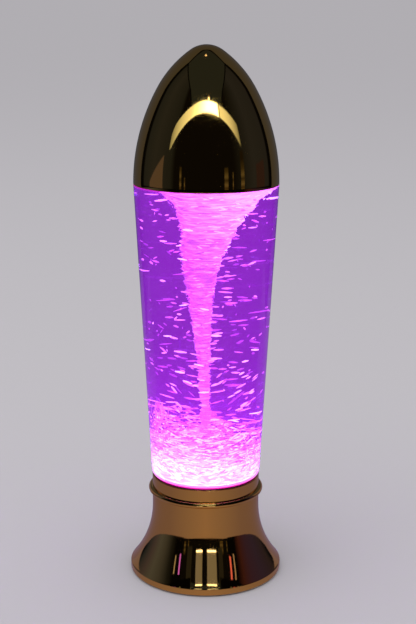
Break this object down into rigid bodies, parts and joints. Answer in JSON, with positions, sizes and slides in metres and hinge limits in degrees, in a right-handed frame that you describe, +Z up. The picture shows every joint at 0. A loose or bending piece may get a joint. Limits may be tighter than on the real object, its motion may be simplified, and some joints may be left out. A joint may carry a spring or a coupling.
{
  "type": "tornado lamp",
  "caption": "Free-standing glitter lamp: a clear tapered vessel of glowing liquid that a hidden impeller swirls into a funnel, on a flared gold base under a pointed gold cap.",
  "frame": {"origin": "on the table, under the middle of the lamp, at the bottom of its feet", "axes": "+Z up along the lamp's axis, +Y to the back with the inlet and button, +X to the right from the front"},
  "size_m": [0.104, 0.104, 0.3575],
  "materials": {
    "gold_mirror": "polished",
    "clear_wall": "gloss",
    "glow_liquid": "gloss",
    "glitter_funnel": "satin",
    "white_plastic": "satin",
    "black_plastic": "satin",
    "black_rubber": "matte",
    "bright_steel": "satin",
    "magnet_grey": "satin",
    "copper_winding": "satin",
    "circuit_board": "satin",
    "led_lens": "gloss",
    "cell_jacket": "gloss",
    "wire_red": "satin",
    "wire_white": "satin",
    "wire_black": "satin"
  },
  "bodies": {
    "base": {"base_shell": "gold_mirror", "trim_bead": "gold_mirror", "base_insert": "black_plastic", "bottom_cover": "black_plastic", "cover_screws": "bright_steel", "rubber_feet": "black_rubber", "battery_cells": "cell_jacket", "battery_contacts": "bright_steel", "deck_plate": "black_plastic", "deck_screws": "bright_steel", "motor_can": "bright_steel", "motor_field_magnets": "magnet_grey", "motor_end_cap": "black_plastic", "motor_screws": "bright_steel", "led_board": "circuit_board", "leds": "led_lens", "led_screws": "bright_steel", "light_window": "clear_wall", "rear_panel": "black_plastic", "control_board": "circuit_board", "usb_inlet": "bright_steel", "power_switch": "black_plastic", "motor_leads": "wire_red", "led_leads": "wire_white", "battery_leads": "wire_black"},
    "vessel": {"vessel": "clear_wall", "vessel_lid": "white_plastic", "lid_seal": "black_rubber", "fill_plug": "white_plastic", "fill_plug_seal": "black_rubber", "liquid": "glow_liquid", "glitter_cloud": "glitter_funnel", "collar": "gold_mirror", "collar_gasket": "black_rubber", "pivot_pin": "bright_steel", "thrust_washer": "white_plastic", "pin_retainer": "bright_steel"},
    "cap": {"cap_shell": "gold_mirror"},
    "impeller": {"impeller": "white_plastic", "impeller_magnets": "magnet_grey", "vortex": "glitter_funnel"},
    "rotor": {"motor_shaft": "bright_steel", "motor_armature": "copper_winding", "magnet_carrier": "black_plastic", "drive_magnets": "magnet_grey"},
    "power_button": {"power_button": "gold_mirror"},
    "battery_door": {"battery_door": "black_plastic"}
  },
  "joints": [
    {"name": "vessel_lift", "type": "slide", "parent": "base", "child": "vessel", "axis": [0, 0, 1], "range_m": [0, 0.04]},
    {"name": "cap_lift", "type": "slide", "parent": "vessel", "child": "cap", "axis": [0, 0, 1], "range_m": [0, 0.06]},
    {"name": "impeller_spin", "type": "hinge", "parent": "vessel", "child": "impeller", "pos_m": [0, 0, 0.06], "axis": [0, 0, 1], "continuous": true},
    {"name": "motor_spin", "type": "hinge", "parent": "base", "child": "rotor", "pos_m": [0, 0, 0.04], "axis": [0, 0, 1], "continuous": true},
    {"name": "button_press", "type": "slide", "parent": "base", "child": "power_button", "axis": [0, -1, 0], "range_m": [0, 0.0015], "stiffness_N_per_m": 400},
    {"name": "battery_door_off", "type": "slide", "parent": "base", "child": "battery_door", "axis": [0, 0, -1], "range_m": [0, 0.03]}
  ],
  "couplings": [
    {"joint": "impeller_spin", "follows": "motor_spin", "ratio": 1}
  ]
}
